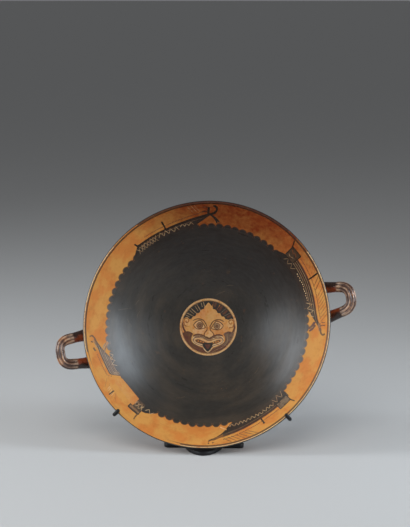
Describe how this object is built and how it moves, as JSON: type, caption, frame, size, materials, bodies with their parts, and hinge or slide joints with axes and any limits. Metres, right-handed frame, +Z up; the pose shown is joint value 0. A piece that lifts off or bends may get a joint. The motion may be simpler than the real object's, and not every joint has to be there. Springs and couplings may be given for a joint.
{
  "type": "black-figure drinking cup on a display stand",
  "caption": "Wide shallow two-handled black-figure pottery drinking cup on a stemmed foot, leaning back mouth forward in a black wire display stand.",
  "frame": {"origin": "on the ground under the middle of the whole object's box", "axes": "+Z up, -Y the way the cup's mouth faces, +X to the right as seen from the front"},
  "size_m": [0.3894, 0.183, 0.3182],
  "materials": {
    "painted_pottery": "fired orange clay with a semi-gloss black slip, worn in places",
    "black_steel": "satin black paint on brazed steel rod and plate"
  },
  "bodies": {
    "root": {"kylix": "painted_pottery", "display_stand": "black_steel"}
  },
  "joints": []
}
